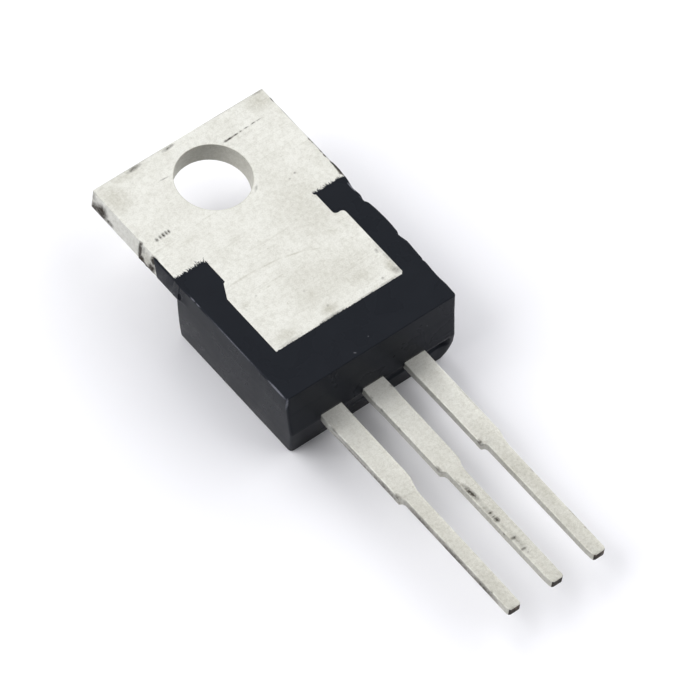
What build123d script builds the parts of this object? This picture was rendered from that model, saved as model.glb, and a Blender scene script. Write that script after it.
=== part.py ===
from build123d import *
import os

# Pulse width modulation switch in a three-lead moulded power package, in millimetres.
# It lies face down: the moulded front rests on z = 0 and the bare metal back faces up.
# Lengths are measured from the lead end of the moulding, with +y towards the tab.

# Whole package
thickness = 4.5
body_length = 8.8
tab_width = 10.28
tab_length = 6.3
lead_length = 13.5

# Heat sink frame: tab, paddle and source lead, stamped in one piece from dual-gauge copper
plate_gauge = 1.25
hole_diameter = 3.82
hole_to_tab_end = 2.72
key_depth = 1.81
key_length = 1.45
pad_wall = 1.27
pad_to_lead_end = 2.83
chamfer_shoulder_length = 0.84
round_shoulder_radius = 0.2
lock_ledge = 0.32
lock_gauge = 0.6
plate_edge_radius = 0.06

# Leads
pitch = 2.54
lead_gauge = 0.45
back_to_lead_centre = 2.745
wide_lead = 1.25
narrow_lead = 0.78
wide_length = 5.85
stub_length = 0.4
stub_reach = 0.03
taper_length = 0.25
tip_chamfer = 0.1
joggle_start = 0.75
joggle_radius = 0.35
joggle_gap = 0.3
bond_pad_width = 2.1
bond_pad_start = 0.6
bond_pad_length = 1.6
anchor_hole = 0.5

# Switch die, its solder and its aluminium bond wires
die_width = 3.4
die_length = 2.9
die_thickness = 0.3
solder_margin = 0.12
solder_thickness = 0.06
drain_wire_diameter = 0.3
source_wire_diameter = 0.3
control_wire_diameter = 0.15
wire_foot_length = 0.5
wire_foot_spread = 1.3
wire_bend = 0.7
lead_loop_drop = 0.4
lead_loop_run = 0.4
source_loop_drop = 0.45
source_loop_run = 0.3
bond_inset = 0.45
source_wire_spread = 1.1
source_bond_gap = 0.5

# Moulding
body_overhang = 0.01
side_draft_inset = 0.42
lead_end_back_inset = 0.42
lead_end_front_inset = 0.15
tab_end_setback = 0.2
tab_end_draft_inset = 0.18
corner_radius = 0.22
front_edge_radius = 0.18
strip_thickness = 0.11
strip_overlap = 0.8
left_strip_length = 1.5
right_strip_length = 0.9
strip_slant = 0.45

# Levels and stations worked out from the sizes above
plate_front = thickness - plate_gauge
lead_centre = thickness - back_to_lead_centre
lead_front = lead_centre - lead_gauge / 2
solder_front = plate_front - solder_thickness
die_front = solder_front - die_thickness
tab_end = body_length + tab_length
shoulder = body_length - key_length
neck_half = tab_width / 2 - key_depth
pad_half = tab_width / 2 - pad_wall
body_half = tab_width / 2 + body_overhang
die_y = (pad_to_lead_end + shoulder) / 2
middle = (tab_end - lead_length) / 2


def slab(outline, low, high):
    """Extrudes a closed outline of x, y points between two heights."""
    return Pos(0, 0, low) * extrude(make_face(Polyline(*outline, close=True)), high - low)


def upright_edge(solid, x, y):
    """The upright edge of a solid that stands nearest to one x, y place."""
    return solid.edges().filter_by(Axis.Z).sort_by_distance((x, y, (plate_front + thickness) / 2))[0]


def plate():
    """Tab, neck and paddle, with one chamfered and one rounded shoulder below the keys."""
    half = tab_width / 2
    outline = [
        (-half, tab_end),
        (-half, body_length),
        (-neck_half, body_length),
        (-neck_half, shoulder),
        (-pad_half, shoulder - chamfer_shoulder_length),
        (-pad_half, pad_to_lead_end),
        (pad_half, pad_to_lead_end),
        (pad_half, shoulder),
        (neck_half, shoulder),
        (neck_half, body_length),
        (half, body_length),
        (half, tab_end),
    ]
    metal = slab(outline, plate_front, thickness)
    corners = [upright_edge(metal, pad_half, shoulder), upright_edge(metal, neck_half, shoulder)]
    metal = fillet(corners, round_shoulder_radius)
    rim = metal.faces().sort_by(Axis.Y)[-1].edges().filter_by(Axis.X)
    metal = fillet(rim, plate_edge_radius)
    hole = Pos(0, tab_end - hole_to_tab_end, plate_front) * Cylinder(
        hole_diameter / 2, plate_gauge, align=(Align.CENTER, Align.CENTER, Align.MIN)
    )
    return metal - hole


def lock_step():
    """Ledge around the front half of the paddle, which the moulding grips."""
    reach = pad_half + lock_ledge
    outline = [
        (-reach, pad_to_lead_end - lock_ledge),
        (reach, pad_to_lead_end - lock_ledge),
        (reach, shoulder - chamfer_shoulder_length),
        (-reach, shoulder - chamfer_shoulder_length),
    ]
    return slab(outline, plate_front, plate_front + lock_gauge)


def lead_blade(x):
    """Outer part of a lead: wide root with cut dambar stubs, then a narrow blade with a bevelled tip."""
    wide = wide_lead / 2
    narrow = narrow_lead / 2
    stub = wide + stub_reach
    side = [
        (wide, 0),
        (wide, stub_length - wide_length),
        (stub, stub_length - wide_length),
        (stub, -wide_length),
        (narrow, -wide_length - taper_length),
        (narrow, tip_chamfer - lead_length),
        (narrow - tip_chamfer, -lead_length),
    ]
    outline = side + [(-a, b) for a, b in reversed(side)]
    blade = slab(outline, lead_centre - lead_gauge / 2, lead_centre + lead_gauge / 2)
    return Pos(x, 0, 0) * blade


def joggle():
    """Source lead inside the moulding, bent up from the lead plane to the paddle."""
    high = plate_front + lead_gauge / 2
    turn = pad_to_lead_end - lock_ledge - joggle_gap
    route = FilletPolyline(
        (0, lead_centre),
        (joggle_start, lead_centre),
        (turn, high),
        (pad_to_lead_end, high),
        radius=joggle_radius,
    )
    strip = Plane.YZ * trace(route, lead_gauge)
    return extrude(strip, wide_lead / 2, both=True)


def bond_pad(x):
    """Inner end of an outer lead: a flat pad with an anchor hole that the moulding fills."""
    pad_end = bond_pad_start + bond_pad_length
    half = bond_pad_width / 2
    outline = [
        (x - wide_lead / 2, 0),
        (x + wide_lead / 2, 0),
        (x + wide_lead / 2, bond_pad_start),
        (x + half, bond_pad_start),
        (x + half, pad_end),
        (x - half, pad_end),
        (x - half, bond_pad_start),
        (x - wide_lead / 2, bond_pad_start),
    ]
    pad = slab(outline, lead_centre - lead_gauge / 2, lead_centre + lead_gauge / 2)
    return pad - Pos(x, bond_pad_start, lead_centre) * Cylinder(anchor_hole / 2, 2 * lead_gauge)


def heat_sink_frame():
    return plate() + lock_step() + joggle() + lead_blade(0)


def outer_lead(x):
    return lead_blade(x) + bond_pad(x)


def die_attach_solder():
    width = die_width + 2 * solder_margin
    length = die_length + 2 * solder_margin
    return Pos(0, die_y, (solder_front + plate_front) / 2) * Box(width, length, solder_thickness)


def switch_die():
    return Pos(0, die_y, (die_front + solder_front) / 2) * Box(die_width, die_length, die_thickness)


def bond_wire(start, end, diameter, drop, run):
    """Wire looped in an upright plane between two surfaces, with a flat wedge foot on each.

    The loop hangs drop below the lower surface, and takes run to get there from each foot.
    """
    radius = diameter / 2
    first = Vector(*start)
    last = Vector(*end)
    along = Vector(last.X - first.X, last.Y - first.Y, 0)
    span = along.length
    along = along.normalized()
    half = wire_foot_length / 2
    low = min(first.Z, last.Z) - drop - radius

    def station(distance, height):
        return first + along * distance + Vector(0, 0, height - first.Z)

    route = FilletPolyline(
        station(-half, first.Z - radius),
        station(half, first.Z - radius),
        station(half + run, low),
        station(span - half - run, low),
        station(span - half, last.Z - radius),
        station(span + half, last.Z - radius),
        radius=diameter * wire_bend,
    )
    wire = sweep(Plane(origin=route @ 0, z_dir=route % 0) * Circle(radius), path=route)
    width = diameter * wire_foot_spread
    foot = Box(wire_foot_length, width, radius, align=(Align.CENTER, Align.CENTER, Align.MIN))
    for distance, level in ((0, first.Z), (span, last.Z)):
        wire += Plane(origin=station(distance, level), x_dir=along, z_dir=(0, 0, -1)) * foot
    return wire


def drain_bond_wire():
    start = (-die_width / 2 + bond_inset, die_y - die_length / 2 + bond_inset, die_front)
    end = (-pitch, bond_pad_start + bond_pad_length - bond_inset, lead_front)
    return bond_wire(start, end, drain_wire_diameter, lead_loop_drop, lead_loop_run)


def control_bond_wire():
    start = (die_width / 2 - bond_inset, die_y - die_length / 2 + bond_inset, die_front)
    end = (pitch, bond_pad_start + bond_pad_length - bond_inset, lead_front)
    return bond_wire(start, end, control_wire_diameter, lead_loop_drop, lead_loop_run)


def source_bond_wire(x):
    """Down bond from the die to the paddle beside it, on the tab side."""
    die_edge = die_y + die_length / 2
    landing = die_edge + solder_margin + source_bond_gap
    start = (x, die_edge - bond_inset - wire_foot_length, die_front)
    end = (x, landing, plate_front)
    return bond_wire(start, end, source_wire_diameter, source_loop_drop, source_loop_run)


def side_strip(side, length):
    """Thin skin of moulding that runs along one edge of the tab, as deep as the tab."""
    inner = tab_width / 2
    outer = inner + strip_thickness
    profile = [
        (body_length - strip_overlap, plate_front),
        (body_length + length - strip_slant, plate_front),
        (body_length + length, thickness),
        (body_length - strip_overlap, thickness),
    ]
    skin = Plane.YZ * make_face(Polyline(*profile, close=True))
    return Pos(side * inner, 0, 0) * extrude(skin, side * (outer - inner))


def block():
    """Moulding before the metal is taken out: drafted on all sides, parted at the lead plane."""
    end_profile = [
        (lead_end_front_inset, 0),
        (0, lead_centre),
        (lead_end_back_inset, thickness),
        (body_length, thickness),
        (body_length, plate_front),
        (body_length - tab_end_setback, plate_front),
        (body_length - tab_end_setback - tab_end_draft_inset, 0),
    ]
    side_profile = [
        (-body_half, thickness),
        (body_half, thickness),
        (body_half - side_draft_inset, 0),
        (-body_half + side_draft_inset, 0),
    ]
    lengthways = extrude(Plane.YZ * make_face(Polyline(*end_profile, close=True)), tab_width, both=True)
    across = extrude(Plane.XZ * make_face(Polyline(*side_profile, close=True)), 2 * body_length, both=True)
    solid = lengthways & across
    lead_end = [e for e in solid.edges() if e.center().Y < lead_end_back_inset]
    upright = [e for e in lead_end if abs(e.tangent_at(0.5).Z) > abs(e.tangent_at(0.5).X)]
    solid = fillet(upright, corner_radius)
    front = solid.faces().sort_by(Axis.Z)[0]
    return fillet(front.edges(), front_edge_radius)


def moulded_body(inner_pieces):
    solid = block() + side_strip(-1, left_strip_length) + side_strip(1, right_strip_length)
    for piece in inner_pieces:
        solid -= piece
    return solid


def build():
    """Every piece by its node name."""
    pieces = {
        "heat_sink_frame": heat_sink_frame(),
        "drain_lead": outer_lead(-pitch),
        "control_lead": outer_lead(pitch),
        "die_attach_solder": die_attach_solder(),
        "switch_die": switch_die(),
        "drain_bond_wire": drain_bond_wire(),
        "source_bond_wire_left": source_bond_wire(-source_wire_spread),
        "source_bond_wire_right": source_bond_wire(source_wire_spread),
        "control_bond_wire": control_bond_wire(),
    }
    pieces["moulded_body"] = moulded_body(pieces.values())
    return pieces


os.makedirs("parts", exist_ok=True)
for name, piece in build().items():
    export_step(Pos(0, -middle, 0) * piece, f"parts/{name}.step")
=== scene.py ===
import math
from functools import partial

import bmesh
import bpy
from mathutils import Matrix, Vector, geometry, noise


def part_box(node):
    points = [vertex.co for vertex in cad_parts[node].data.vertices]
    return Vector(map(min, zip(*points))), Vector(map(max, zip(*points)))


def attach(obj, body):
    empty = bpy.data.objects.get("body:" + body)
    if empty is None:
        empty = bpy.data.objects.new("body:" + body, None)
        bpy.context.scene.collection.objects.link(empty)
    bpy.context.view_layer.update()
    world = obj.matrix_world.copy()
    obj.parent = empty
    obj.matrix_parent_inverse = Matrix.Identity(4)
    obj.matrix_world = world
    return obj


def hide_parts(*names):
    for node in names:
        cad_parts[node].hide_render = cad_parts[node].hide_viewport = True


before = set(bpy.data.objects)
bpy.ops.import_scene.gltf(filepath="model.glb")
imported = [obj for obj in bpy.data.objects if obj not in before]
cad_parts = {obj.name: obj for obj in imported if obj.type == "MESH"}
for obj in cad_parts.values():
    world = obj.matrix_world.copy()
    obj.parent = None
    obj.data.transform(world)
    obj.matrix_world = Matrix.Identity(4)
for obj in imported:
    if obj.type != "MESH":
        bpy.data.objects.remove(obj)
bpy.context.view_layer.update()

mm = 0.001
drainLow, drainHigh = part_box("drain_lead")
controlLow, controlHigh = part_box("control_lead")
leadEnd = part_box("moulded_body")[0].y  # the lead end of the moulding: every length along the part starts here
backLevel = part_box("heat_sink_frame")[1].z / mm
leadTop = drainHigh.z / mm
leadGauge = (drainHigh.z - drainLow.z) / mm
leadLevel = drainLow.z / mm + leadGauge / 2


def at(x, y, z):
    # a place in millimetres, with y from the lead end of the moulding, as a point of the shared frame
    return Vector((x * mm, y * mm + leadEnd, z * mm))


def linear(hexColour):
    # sRGB hex to the linear colour that a shader takes
    parts = [int(hexColour[i:i + 2], 16) / 255 for i in (1, 3, 5)]
    return [c / 12.92 if c <= 0.04045 else ((c + 0.055) / 1.055) ** 2.4 for c in parts] + [1]


def addNode(tree, kind, inputs=None, **settings):
    # one node with its settings, a shader node unless its kind says what it is; an input is given a value, or
    # the node or the output socket that feeds it
    node = tree.nodes.new(kind if "Node" in kind else "ShaderNode" + kind)
    for name, value in settings.items():
        setattr(node, name, value)
    for name, value in (inputs or {}).items():
        if isinstance(value, bpy.types.Node):
            value = next(socket for socket in value.outputs if socket.enabled)
        if isinstance(value, bpy.types.NodeSocket):
            tree.links.new(value, node.inputs[name])
        else:
            node.inputs[name].default_value = value
    return node


def newMaterial(name, recipe, *values):
    # a material whose recipe is given what adds its nodes and the place on the object, and gives its shader
    material = bpy.data.materials.new(name)
    material.use_nodes = True
    material.node_tree.nodes.clear()
    add = partial(addNode, material.node_tree)
    add("OutputMaterial", {"Surface": recipe(add, add("TexCoord").outputs["Object"], *values)})
    return material


def tableAt(rows, place):
    # straight-line value between the rows of a table of (place, value), held level past its ends
    if place <= rows[0][0]:
        return rows[0][1]
    for (a, low), (b, high) in zip(rows, rows[1:]):
        if place <= b:
            return low + (high - low) * (place - a) / (b - a)
    return rows[-1][1]


patchGain = 1.6  # how much stronger the middle of a patch is than what is shown, so that its core is solid


def patches(add, place, rows, rag, low, high):
    # soft ellipsoids at given places, each (centre, half sizes, turn in degrees, strength), broken up by rag
    # and shown from the level low up to the level high
    total = None
    for centre, half, turn, strength in rows:
        box = add("Mapping", {
            "Vector": place, "Location": at(*centre), "Rotation": (0, 0, math.radians(turn)),
            "Scale": [h * mm for h in half],
        }, vector_type="TEXTURE")
        spot = add("TexGradient", {"Vector": box}, gradient_type="SPHERICAL")
        level = add("Math", {0: spot.outputs["Fac"], 1: strength * patchGain}, operation="MULTIPLY")
        total = add("Math", {0: total, 1: level}, operation="MAXIMUM") if total else level
    broken = add("Math", {0: total, 1: rag}, operation="MULTIPLY")
    return add("MapRange", {"Value": broken, "From Min": low, "From Max": high})


def onFace(level, rows, depth=0.1):
    # patches on a flat face at this height, each x, y, half sizes, turn and strength
    return [((x, y, level), (a, b, depth), turn, strength) for x, y, a, b, turn, strength in rows]


tinLook = {
    "colour": "#DDDDD7",
    "stain": "#B5B3A9",
    "grimeAndRimShade": "#362F28",
    "tarnish": "#8D8873",
    "cloudSize": 1.5,  # mm between broad clouds of handling
    "mottleSize": 0.2,  # mm between small patches of the plating
    "grainSize": 0.06,  # mm; the real crystals are a tenth of this, drawn as coarse as they need to show
    "ragSize": 0.13,  # mm between breaks in the dirt and in the painted rim shade
    "scratches": ((38, 0.18), (-52, 0.14), (8, 0.12)),  # turn in degrees and strength of each set
    "scratchLength": 2.4,  # mm
    "scratchGap": 0.09,  # mm; real scratches are a few micrometres wide, drawn as wide as they need to show
    "leadTipDarkening": 0.45,  # how much darker the leads get towards their tips than the tab
    "hole": (12.38, 1.93),  # mm; how far up the tab the hole is, and how far its wall reaches
    "holeDullness": 0.3,
    "speckGap": 0.55,  # mm between cells that may hold a dark speck
    "roughness": 0.56,
}

# Dirt on the plating, and painted shade along the tab's rounded back rims: centre and half sizes in mm, turn
# about the upright in degrees, strength
grimeAndRimShade = [
    # smudges along the tab's end and dark ticks on its right edge, with painted shade as thin dark lines along
    # its rounded back rims
    ((-2.75, 14.97, 4.5), (0.55, 0.15, 0.15), 4, 0.9), ((-0.7, 14.97, 4.5), (0.5, 0.13, 0.15), 4, 0.75),
    ((4.85, 15.05, 4.5), (0.5, 0.1, 0.15), 0, 0.5), ((-2.5, 15.09, 4.48), (3.2, 0.04, 0.07), 0, 0.45),
    ((3.0, 15.09, 4.48), (2.6, 0.04, 0.07), 0, 0.6), ((5.14, 14.3, 4.48), (0.08, 0.22, 0.1), 0, 2.0),
    ((5.14, 13.2, 4.49), (0.05, 1.1, 0.06), 0, 0.9), ((5.14, 11.45, 4.48), (0.09, 0.16, 0.1), 0, 2.2),
    ((5.14, 11.25, 4.48), (0.07, 0.14, 0.1), 0, 2.0), ((5.14, 10.6, 4.48), (0.08, 0.16, 0.1), 0, 2.0),
    ((5.14, 10.3, 4.48), (0.1, 0.18, 0.1), 0, 2.4), ((5.14, 9.72, 4.48), (0.09, 0.26, 0.1), 0, 2.4),
    ((5.15, 9.25, 4.48), (0.14, 0.55, 0.1), 0, 2.6), ((5.12, 9.1, 4.48), (0.16, 0.2, 0.1), 0, 1.6),
    ((5.14, 10.6, 4.49), (0.05, 1.9, 0.06), 0, 0.9),
    # oxide where the tab was cut from its neighbours: the land at its end, and its trail
    ((-5.2, 14.3, 3.68), (0.2, 0.55, 0.7), 0, 1.6), ((-5.2, 14.75, 3.55), (0.2, 0.5, 0.5), 0, 1.3),
    ((-5.2, 14.95, 4.25), (0.2, 0.3, 0.45), 0, 0.6), ((-5.2, 13.72, 3.45), (0.2, 0.45, 0.24), 0, 1.1),
    # the land beside the moulding: a dark streak, a dark foot, and a dark top beside the strip
    ((-5.2, 11.4, 3.9), (0.2, 0.22, 1.0), 0, 1.9), ((-5.2, 11.25, 3.4), (0.2, 0.32, 0.45), 0, 1.9),
    ((-5.2, 10.85, 3.28), (0.2, 0.8, 0.28), 0, 1.7), ((-5.2, 10.47, 3.55), (0.2, 0.3, 0.45), 0, 1.5),
    ((-5.2, 10.3, 4.22), (0.2, 0.34, 0.45), 0, 1.9), ((-5.2, 11.15, 4.2), (0.2, 0.2, 0.3), 0, 0.45),
    # the same on the other side
    ((5.2, 14.3, 3.75), (0.2, 0.3, 0.7), 0, 1.0), ((5.2, 11.3, 3.7), (0.2, 0.3, 0.8), 0, 1.0),
    ((5.2, 10.7, 3.4), (0.2, 0.6, 0.35), 0, 0.9),
    # leads: the drain lead's dirty left wall, its root, and its dots
    ((-2.97, -7.2, 1.66), (0.12, 1.9, 0.42), 0, 0.8), ((-2.97, -9.6, 1.66), (0.12, 2.6, 0.42), 0, 0.85),
    ((-2.97, -11.7, 1.68), (0.12, 1.4, 0.38), 0, 0.9), ((-2.95, -12.25, 1.9), (0.1, 0.16, 0.2), 0, 0.6),
    ((-3.2, -4.7, 1.68), (0.12, 1.8, 0.38), 0, 0.9), ((-3.2, -3.0, 1.6), (0.12, 2.8, 0.22), 0, 0.8),
    ((-3.2, -2.6, 1.88), (0.1, 2.2, 0.18), 0, 0.65), ((-3.2, -1.0, 1.95), (0.1, 0.4, 0.15), 0, 0.8),
    ((-3.2, -1.95, 1.95), (0.1, 0.25, 0.15), 0, 0.7), ((-1.93, -0.6, 1.98), (0.09, 0.14, 0.12), 0, 0.5),
    ((-3.14, -5.63, 1.96), (0.16, 0.3, 0.2), 0, 0.9),
    # the source lead's row of specks and its smear
    ((-0.42, -10.1, 1.9), (0.09, 0.12, 0.15), 0, 0.8), ((-0.62, -1.4, 1.9), (0.08, 0.14, 0.15), 0, 0.5),
    ((-0.62, -2.7, 1.9), (0.08, 0.16, 0.15), 0, 0.5), ((-0.6, -5.55, 1.96), (0.14, 0.26, 0.2), 0, 0.85),
    # the control lead
    ((2.93, -8.2, 1.98), (0.08, 0.2, 0.12), 0, 0.6), ((2.93, -11.1, 1.98), (0.06, 0.6, 0.12), 0, 0.5),
    ((2.9, -12.1, 1.98), (0.08, 0.12, 0.12), 0, 0.6), ((1.95, -5.52, 1.96), (0.15, 0.26, 0.2), 0, 0.95),
    *onFace(backLevel, [
        # a dashed scrape beside the hole, and a faint one across from it
        (2.02, 13.69, 0.42, 0.075, 3, 1.2), (1.8, 13.69, 0.14, 0.1, 0, 1.0), (2.4, 13.71, 0.24, 0.06, 3, 1.2),
        (2.72, 13.73, 0.12, 0.06, 0, 0.8), (3.08, 13.74, 0.2, 0.05, 0, 0.9), (3.52, 13.76, 0.2, 0.05, 2, 1.0),
        (3.85, 13.76, 0.3, 0.04, 0, 0.6), (-1.95, 13.67, 0.4, 0.06, -4, 0.6),
        # a row of short ticks
        (-4.45, 11.1, 0.12, 0.16, -8, 0.9), (-4.22, 11.13, 0.11, 0.17, -8, 1.0),
        (-4.02, 11.14, 0.11, 0.18, -8, 1.2), (-3.84, 11.15, 0.1, 0.17, -8, 1.2),
        (-3.68, 11.16, 0.09, 0.15, -8, 1.1),
        # single specks
        (3.3, 10.33, 0.11, 0.09, 0, 0.45), (2.9, 10.2, 0.08, 0.07, 0, 0.4), (1.25, 10.7, 0.3, 0.1, 40, 0.5),
        (-2.64, 5.87, 0.09, 0.09, 0, 0.35), (-3.52, 5.5, 0.1, 0.08, 0, 0.3), (-0.64, 4.76, 0.08, 0.1, 0, 0.4),
        (-0.24, 3.48, 0.11, 0.1, 0, 0.5), (2.86, 3.18, 0.12, 0.1, 0, 0.6),
        # the paddle's right side and its dirty corner
        (3.62, 4.58, 0.12, 0.2, -20, 0.5), (3.8, 4.1, 0.14, 1.2, 0, 0.3), (3.72, 3.15, 0.3, 0.4, 20, 0.5),
        # soot along the paddle's lead-end edge
        (-3.0, 2.9, 1.1, 0.15, 0, 0.35), (-0.45, 2.88, 1.1, 0.14, 0, 0.6), (1.6, 2.86, 1.0, 0.1, 0, 0.45),
        (3.0, 2.87, 1.0, 0.12, 0, 0.45),
    ]), *onFace(leadTop, [
        # the source lead's row of specks and its smear
        (-0.22, -7.45, 0.2, 0.8, 4, 1.05), (-0.35, -6.7, 0.12, 0.5, 0, 0.4), (-0.22, -8.2, 0.07, 0.5, 4, 0.3),
        (-0.2, -8.86, 0.2, 0.1, 0, 0.9), (-0.25, -8.8, 0.24, 1.1, 0, 0.32),
        (-0.15, -10.9, 0.24, 1.1, 0, 0.32), (-0.2, -9.1, 0.16, 0.09, 0, 0.7),
        (-0.2, -9.33, 0.2, 0.22, 0, 1.2), (-0.2, -9.9, 0.14, 0.5, 0, 0.25),
        (-0.2, -10.57, 0.24, 0.14, 0, 1.0), (-0.2, -11.3, 0.24, 0.12, 0, 0.95),
        (-0.15, -11.55, 0.09, 0.08, 0, 0.5), (-0.6, -0.6, 0.08, 0.14, 0, 0.4),
        (0.58, -0.6, 0.1, 0.16, 0, 0.5),
        # the control lead
        (3.1, -3.2, 0.06, 1.6, 0, 0.4),
    ]),
]

# Paler brown and grey-green tarnish
tarnish = [
    ((2.5, 8.6, 4.5), (2.4, 3.4, 0.3), 0, 0.3), ((0.6, 4.9, 4.5), (3.6, 2.4, 0.3), 0, 0.3),
    ((4.6, 14.6, 4.5), (1.1, 0.8, 0.15), 0, 0.55), ((-4.6, 14.2, 4.5), (1.0, 1.3, 0.15), 0, 0.5),
    ((-3.4, 14.9, 4.5), (1.4, 0.5, 0.15), 0, 0.4), ((-5.2, 10.85, 3.9), (0.2, 0.6, 0.6), 0, 0.5),
    *onFace(backLevel, [
        (-2.4, 7.03, 1.1, 0.09, 0, 0.55), (-1.0, 6.95, 0.9, 0.08, -6, 0.6), (0.35, 6.7, 0.9, 0.08, -14, 0.6),
        (1.3, 6.35, 0.7, 0.08, -24, 0.5), (0.8, 5.0, 0.75, 0.05, -42, 0.55), (-0.4, 4.4, 1.6, 0.9, 10, 0.42),
        (-3.4, 5.75, 0.4, 0.2, 20, 0.5), (-1.85, 5.95, 0.15, 0.08, 0, 0.5), (-0.3, 3.3, 0.7, 0.4, 0, 0.6),
        (2.0, 3.9, 1.4, 0.7, -10, 0.4), (-2.9, 3.3, 0.9, 0.4, 0, 0.5), (3.6, 3.5, 0.35, 0.8, 0, 0.6),
        (2.6, 6.7, 0.5, 0.12, -30, 0.45), (4.6, 12.9, 0.3, 0.1, 0, 0.35), (-3.2, 10.2, 0.9, 0.2, 0, 0.3),
    ]), *onFace(leadTop, [
        (2.7, -9.0, 0.35, 2.6, 0, 0.25),
    ]),
]


def tinPlating(add, place):
    # matte tin electroplated on copper: pale warm grey with no mirror image, clouded, scratched and specked
    look = tinLook
    cloud, mottle, grain, rag = (add("TexNoise", {
        "Vector": place, "Scale": 1 / (look[size] * mm), "Detail": detail, "Roughness": roughness,
    }) for size, detail, roughness in (
        ("cloudSize", 3.0, 0.55), ("mottleSize", 5.0, 0.72), ("grainSize", 2.0, 0.5), ("ragSize", 4.0, 0.75)))
    ragged, clouded, mottled, fine = (add("MapRange", {
        "Value": pattern, "From Min": low, "From Max": high, "To Min": least, "To Max": most,
    }) for pattern, low, high, least, most in (
        (rag, 0.3, 0.68, 0.35, 1.15), (cloud, 0.35, 0.7, 0.0, 0.16),
        (mottle, 0.42, 0.74, 0.0, 0.42), (grain, 0.4, 0.72, -0.05, 0.23)))
    # the leads get darker from just outside the moulding to about half of their length, and stay so to their
    # tips
    height = add("SeparateXYZ", {"Vector": place})
    tipwardDarkening = add("MapRange", {
        "Value": height.outputs["Y"], "From Min": leadEnd - 7 * mm, "From Max": leadEnd - 1 * mm,
        "To Min": look["leadTipDarkening"], "To Max": 0.0,
    })
    scratches = []
    for turn, share in look["scratches"]:
        # noise drawn out along one way, of which only the peaks are kept
        drawn = add("Mapping", {
            "Vector": place, "Rotation": (0, 0, math.radians(turn)),
            "Scale": (1 / (look["scratchLength"] * mm), 1 / (look["scratchGap"] * mm), 1 / (3 * mm)),
        })
        lines = add("TexNoise", {
            "Vector": drawn, "Scale": 1.0, "Detail": 1.0, "Roughness": 0.4, "Distortion": 0.35,
        })
        scratches.append(add("MapRange", {
            "Value": lines, "From Min": 0.66, "From Max": 0.78, "To Max": share,
        }))
    dull = clouded
    for layer in (mottled, tipwardDarkening, fine, *scratches):
        dull = add("Math", {0: dull, 1: layer})
    base = add("Mix", {0: dull, 6: linear(look["colour"]), 7: linear(look["stain"])}, data_type="RGBA")

    # specks in the middle of a few cells
    cells = add("TexVoronoi", {"Vector": place, "Scale": 1 / (look["speckGap"] * mm)})
    chosen = add("SeparateColor", {"Color": cells.outputs["Color"]})
    picked = add("MapRange", {
        "Value": chosen.outputs["Red"], "From Min": 0.72, "From Max": 1.0, "To Max": 0.085,
    })
    speck = add("Math", {0: picked, 1: cells.outputs["Distance"]}, operation="SUBTRACT")
    specked = add("MapRange", {"Value": speck, "From Max": 0.04, "To Max": 0.75})
    # the wall of the hole, dragged by the punch before it was plated, is duller
    holeY, holeReach = look["hole"]
    fromHole = add("VectorMath", {0: place, 1: at(0, holeY, 0)}, operation="SUBTRACT")
    flat = add("VectorMath", {0: fromHole, 1: (1, 1, 0)}, operation="MULTIPLY")
    reach = add("VectorMath", {0: flat}, operation="LENGTH")
    bore = add("MapRange", {
        "Value": reach, "From Min": holeReach * mm, "From Max": (holeReach + 0.02) * mm,
        "To Min": look["holeDullness"], "To Max": 0.0,
    })
    tint = add("Math", {0: patches(add, place, tarnish, ragged, 0.05, 1.3), 1: 0.7}, operation="MULTIPLY")
    for layer in (specked, bore):
        tint = add("Math", {0: tint, 1: layer}, operation="MAXIMUM")
    tarnished = add("Mix", {0: tint, 6: base, 7: linear(look["tarnish"])}, data_type="RGBA")
    # dirt, with painted shade along the tab's back rims, mixed towards the dark colour
    dirtAndRimShade = add("Math", {0: patches(add, place, grimeAndRimShade, ragged, 0.04, 1.15), 1: 0.95}, operation="MULTIPLY")
    colour = add("Mix", {0: dirtAndRimShade, 6: tarnished, 7: linear(look["grimeAndRimShade"])}, data_type="RGBA")

    rough = add("MapRange", {
        "Value": mottle, "From Min": 0.3, "From Max": 0.7,
        "To Min": look["roughness"] - 0.05, "To Max": look["roughness"] + 0.08,
    })
    relief = add("Bump", {"Strength": 0.3, "Distance": 0.008 * mm, "Height": grain})
    return add("BsdfPrincipled", {
        "Base Color": colour, "Metallic": 1.0, "Roughness": rough, "Normal": relief,
    })


shearLook = {
    "oxide": "#2B2621",
    "copper": "#7A6A5D",
    "smear": "#A8A498",  # tin dragged over the cut
    "patchSize": 0.3,  # mm
    "roughness": 0.62,
}


def shearedCopper(add, place):
    # copper bared where the leads were cut off: brown-black oxide, pinker where it is fresh, smeared with tin
    look = shearLook
    patch = add("TexNoise", {
        "Vector": place, "Scale": 1 / (look["patchSize"] * mm), "Detail": 4.0, "Roughness": 0.65,
    })
    fresh = add("MapRange", {"Value": patch, "From Min": 0.46, "From Max": 0.66, "To Max": 0.8})
    bare = add("Mix", {0: fresh, 6: linear(look["oxide"]), 7: linear(look["copper"])}, data_type="RGBA")
    smeared = add("MapRange", {"Value": patch, "From Min": 0.65, "From Max": 0.78, "To Max": 0.85})
    colour = add("Mix", {0: smeared, 6: bare, 7: linear(look["smear"])}, data_type="RGBA")
    relief = add("Bump", {"Strength": 0.5, "Distance": 0.02 * mm, "Height": patch})
    return add("BsdfPrincipled", {
        "Base Color": colour, "Metallic": 0.7, "Roughness": look["roughness"], "Normal": relief,
    })


epoxyLook = {
    "colour": "#1E2024",
    # colour of the painted highlights along the rims
    "paintedHighlight": "#8E9099",
    "dust": "#A9A9B0",
    "roughness": 0.28,
    "specular": 0.07,
    "sheen": "#D5E2FF",  # the tint of its highlights
    "textureSize": 0.06,  # mm; spark-eroded mould grain, drawn a little coarser than it is
    "flowSize": 1.8,  # mm between glossier and duller places where the melt flowed
}
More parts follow.
